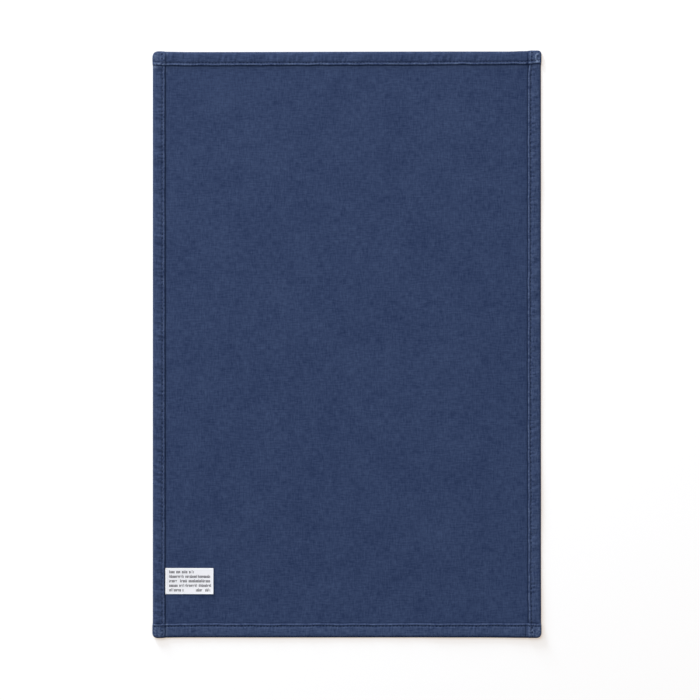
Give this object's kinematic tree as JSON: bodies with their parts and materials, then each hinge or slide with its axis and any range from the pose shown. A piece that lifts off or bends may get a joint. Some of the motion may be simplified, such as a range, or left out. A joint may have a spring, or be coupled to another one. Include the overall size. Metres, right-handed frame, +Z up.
{
  "type": "tea towel",
  "caption": "Flat navy cotton twill tea towel, lying with its stitched double-turned hems upwards, with a white care label held under one hem.",
  "frame": {"origin": "on the table, under the middle of the towel's outline", "axes": "+X across the towel from the labelled hem to the plain one, +Y along its length away from the labelled corner, +Z up through the face that the hems are turned on to"},
  "size_m": [0.4712, 0.7116, 0.0044],
  "materials": {
    "navy_twill": "matt garment-washed cotton twill",
    "label_tape": "smooth woven white tape with a bright edge"
  },
  "bodies": {
    "root": {"towel_cloth": "navy_twill", "care_label": "label_tape"}
  },
  "joints": []
}
